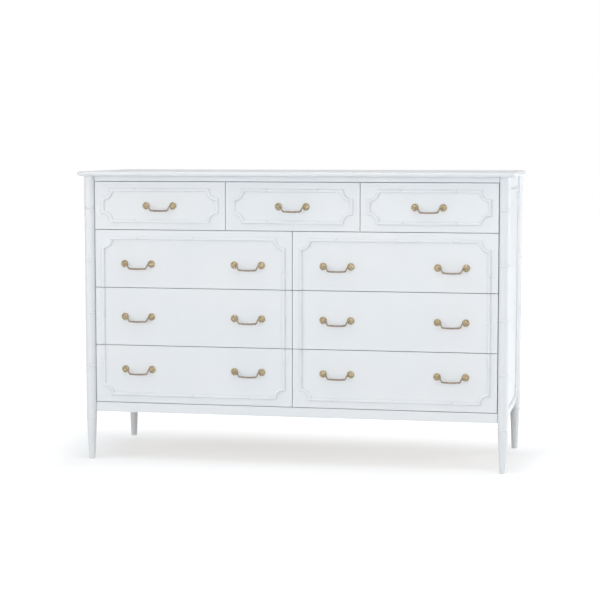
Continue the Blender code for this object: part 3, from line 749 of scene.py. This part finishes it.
def bent_bail(pivot):
    """Bend a bail from a straight path of rod, about its pivot."""
    bpy.ops.object.select_all(action="DESELECT")
    bpy.ops.curve.primitive_nurbs_path_add(location=pivot)
    rod = bpy.context.object
    spline = rod.data.splines[0]
    spline.type = "POLY"
    points = bail_points()
    spline.points.add(len(points) - len(spline.points))
    for point, (across, height, radius) in zip(spline.points, points):
        point.co = (across, 0, height, 1)
        point.radius = radius
    rod.data.bevel_depth = 1
    rod.data.bevel_resolution = ROD_SIDES
    rod.data.use_fill_caps = True
    bpy.ops.object.convert(target="MESH")
    bpy.ops.object.transform_apply()
    bent = bpy.context.object
    edit(bent)
    bpy.ops.mesh.select_all(action="SELECT")
    bpy.ops.mesh.remove_doubles(threshold=MERGE_WITHIN)
    close_edit()
    return bent


ROD_BRASS = aged_brass("rod_brass", ROD_AGED, ROD_BRIGHT)
first_bail = bent_bail(first_pivot)
for bail, pivot in PULLS.items():
    fit(copied(first_bail, pivot - first_pivot), bail + "_rod", bail, "brass", ROD_BRASS, bail)
bpy.data.objects.remove(first_bail)


# Top
# One board, 16 mm thick, with a half-round edge. It swells to a round lobe over each front post; it is
# screwed down from inside the case and painted with it.
FRONT_EDGE_SETBACK = 0.0067
SIDE_PAST_POST = 0.010
BACK_CORNER_ROUNDING = 0.008
EDGE_ROUNDING = 0.0078
EDGE_STEPS = 7
LOBE_SIDES = 96
IN_LINE = math.radians(1)
SAME_PLACE = 0.0001


def lobed_top():
    """Make the top board: a slab with straight edges, joined to a disc over each front post."""
    low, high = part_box("top")
    post = post_axis("post_front_right")
    side = post.x + POST_RADIUS + SIDE_PAST_POST
    middle = (low.z + high.z) / 2
    thickness = high.z - low.z
    slab = board_with_back_corners(Vector((-side, low.y + FRONT_EDGE_SETBACK, low.z)),
                                   Vector((side, high.y, high.z)))
    radius = min(high.x - post.x, post.y - low.y)
    for x in (-post.x, post.x):
        bpy.ops.object.select_all(action="DESELECT")
        bpy.ops.mesh.primitive_cylinder_add(vertices=LOBE_SIDES, radius=radius, depth=thickness,
                                            location=(x, post.y, middle))
        lobe = bpy.context.object
        bpy.ops.object.transform_apply()
        choose(slab)
        union = slab.modifiers.new("lobe", "BOOLEAN")
        union.operation = "UNION"
        union.solver = "EXACT"
        union.object = lobe
        bpy.ops.object.modifier_apply(modifier=union.name)
        bpy.data.objects.remove(lobe)
    edit(slab)
    bpy.ops.mesh.select_all(action="SELECT")
    bpy.ops.mesh.dissolve_limited(angle_limit=IN_LINE)
    pick("EDGE", lambda edge: abs(edge.verts[0].co.z - edge.verts[1].co.z) < SAME_PLACE)
    bpy.ops.mesh.bevel(offset=EDGE_ROUNDING, segments=EDGE_STEPS, affect="EDGES")
    close_edit()
    return slab


def board_with_back_corners(low, high):
    """Make a slab whose two back corners are rounded."""
    bpy.ops.object.select_all(action="DESELECT")
    bpy.ops.mesh.primitive_cube_add(size=1, location=(low + high) / 2, scale=high - low)
    slab = bpy.context.object
    bpy.ops.object.transform_apply()
    edit(slab)
    pick("EDGE", lambda edge: all(abs(corner.co.y - high.y) < SAME_PLACE for corner in edge.verts)
         and abs(edge.verts[0].co.x - edge.verts[1].co.x) < SAME_PLACE)
    bpy.ops.mesh.bevel(offset=BACK_CORNER_ROUNDING, segments=EDGE_STEPS, affect="EDGES")
    close_edit()
    return slab


top_board = lobed_top()
fit(top_board, "painted_top", "case", "paint", WHITE_PAINT, "top")
flat_between_edges(top_board)


# Floor, light and camera
# A plain white studio: a pale floor that keeps the shadow near the dresser and a painted glow that fades
# it further out, large soft lamps in front, to the left, to the right, overhead and behind, a small low one
# beside the dresser for its right side, and the camera a little to the right, looking slightly down.
FLOOR_SIZE = 40
FLOOR_CELLS = 4
FLOOR_ROUGHNESS = 0.9
FLOOR_PATCHES = 0.5
FLOOR_WHITE = (0.86, 0.88, 0.90, 1)
FLOOR_WORN = (0.85, 0.87, 0.89, 1)
FLOOR_SEEN = (0.51, 0.52, 0.53, 1)
# Painted light: the glow is weakest over the dresser, moved forward, and fades its shadow out further off.
FLOOR_GLOW = 0.597
GLOW_TINT = (0.98, 0.991, 1.0, 1)
FLOOR_GLOW_FAR = 1.0
GLOW_RISES_OVER = 0.50
GLOW_FORWARD = 0.12
CAMERA_ACROSS = 1.2192
CAMERA_FROM_RAIL = 5.8754
CAMERA_HEIGHT = 1.1079
CAMERA_DOWN = math.radians(5.06)
CAMERA_TURN = math.radians(11.47)
LENS = 105.31
ROOM_GREY = 0.16
MIRRORED_WHITE = 0.8
MIRRORED_FRONT = 0.25
MIRROR_FADES_TO = 0.3
SENSOR_WIDTH = 36
LAMPS_AIM_AT = Vector((0, 0, 0.5))
# Each lamp's name, place, size in metres and power in watts
LAMPS = (("key_lamp", (4.0, -3.6, 2.4), 3.0, 58), ("side_lamp", (4.4, 0.4, 0.75), 1.3, 52),
         ("front_lamp", (0.4, -6.3, 1.1), 3.0, 87), ("fill_lamp", (-3.8, -3.4, 1.5), 3.0, 76),
         ("high_lamp", (0.0, -1.1, 4.2), 3.0, 66), ("back_lamp", (4.4, 3.4, 2.6), 2.4, 50))


def floor_material():
    """Matt white floor, seen greyer, with painted light: a glow that fades the shadow out from the dresser.
    """
    material, tree, shader, place = new_material("studio_floor")
    shader.inputs["Roughness"].default_value = FLOOR_ROUGHNESS
    shader.inputs["Specular IOR Level"].default_value = 0.0
    tone = mixed(tree, mottled(tree, place, FLOOR_PATCHES), FLOOR_WHITE, FLOOR_WORN)
    ray = tree.nodes.new("ShaderNodeLightPath")
    either = add_node(tree, "ShaderNodeMath", {0: ray.outputs["Is Camera Ray"],
                                               1: ray.outputs["Is Glossy Ray"]}, operation="MAXIMUM")
    seen = either.outputs["Value"]
    tree.links.new(mixed(tree, seen, tone, FLOOR_SEEN), shader.inputs["Base Color"])
    # Painted light: the glow grows with distance outside the footprint, fading the shadow out.
    forward = add_node(tree, "ShaderNodeVectorMath", {0: place, 1: (0, GLOW_FORWARD, 0)}, operation="ADD")
    folded = add_node(tree, "ShaderNodeVectorMath", {0: forward.outputs["Vector"]}, operation="ABSOLUTE")
    past = add_node(tree, "ShaderNodeVectorMath", {0: folded.outputs["Vector"], 1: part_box("top")[1]},
                    operation="SUBTRACT")
    sides = add_node(tree, "ShaderNodeSeparateXYZ", {"Vector": past.outputs["Vector"]})
    away = add_node(tree, "ShaderNodeMath", {0: sides.outputs["X"], 1: sides.outputs["Y"]},
                    operation="MAXIMUM")
    rise = add_node(tree, "ShaderNodeMapRange",
                    {"Value": away.outputs["Value"], "From Max": GLOW_RISES_OVER,
                     "To Min": FLOOR_GLOW, "To Max": FLOOR_GLOW_FAR})
    glow = add_node(tree, "ShaderNodeMath", {0: seen, 1: rise.outputs["Result"]}, operation="MULTIPLY")
    light = add_node(tree, "ShaderNodeEmission", {"Strength": glow.outputs["Value"], "Color": GLOW_TINT})
    both = add_node(tree, "ShaderNodeAddShader")
    tree.links.new(shader.outputs["BSDF"], both.inputs[0])
    tree.links.new(light.outputs["Emission"], both.inputs[1])
    tree.links.new(both.outputs["Shader"], tree.nodes["Material Output"].inputs["Surface"])
    return material


def studio_world():
    """White where the camera looks, a pale room with a dark front for reflections, and grey light."""
    world = bpy.data.worlds.new("studio")
    bpy.context.scene.world = world
    world.use_nodes = True
    tree = world.node_tree
    background = tree.nodes["Background"]
    ray = tree.nodes.new("ShaderNodeLightPath")
    place = tree.nodes.new("ShaderNodeTexCoord").outputs["Generated"]
    forward = add_node(tree, "ShaderNodeSeparateXYZ", {"Vector": place}).outputs["Y"]
    mirrored = add_node(tree, "ShaderNodeMapRange",
                        {"Value": forward, "From Min": -1, "From Max": MIRROR_FADES_TO,
                         "To Min": MIRRORED_FRONT, "To Max": MIRRORED_WHITE})
    room = add_node(tree, "ShaderNodeMix", {"Factor": ray.outputs["Is Glossy Ray"], "A": ROOM_GREY,
                                            "B": mirrored.outputs["Result"]}, data_type="FLOAT")
    straight = add_node(tree, "ShaderNodeMath", {0: ray.outputs["Is Camera Ray"],
                                                 1: ray.outputs["Is Transmission Ray"]}, operation="MAXIMUM")
    strength = add_node(tree, "ShaderNodeMix",
                        {"Factor": straight.outputs["Value"], "A": room.outputs["Result"], "B": 1.0},
                        data_type="FLOAT")
    tree.links.new(strength.outputs["Result"], background.inputs["Strength"])
    background.inputs["Color"].default_value = (1, 1, 1, 1)


bpy.ops.object.select_all(action="DESELECT")
bpy.ops.mesh.primitive_grid_add(x_subdivisions=FLOOR_CELLS, y_subdivisions=FLOOR_CELLS, size=FLOOR_SIZE)
floor = bpy.context.object
floor.name = "studio_floor"
floor.data.materials.append(floor_material())
studio_world()

for name, place, size, power in LAMPS:
    bpy.ops.object.light_add(type="AREA", location=place)
    lamp = bpy.context.object
    lamp.name = name
    lamp.data.size = size
    lamp.data.energy = power
    lamp.rotation_euler = (LAMPS_AIM_AT - Vector(place)).to_track_quat("-Z", "Y").to_euler()

rail_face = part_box("bottom_rail")[0].y
bpy.ops.object.camera_add(location=(CAMERA_ACROSS, rail_face - CAMERA_FROM_RAIL, CAMERA_HEIGHT),
                          rotation=(RIGHT_ANGLE - CAMERA_DOWN, 0, CAMERA_TURN))
camera = bpy.context.object
camera.data.lens = LENS
camera.data.sensor_width = SENSOR_WIDTH
bpy.context.scene.camera = camera
bpy.context.scene.view_settings.view_transform = "Standard"
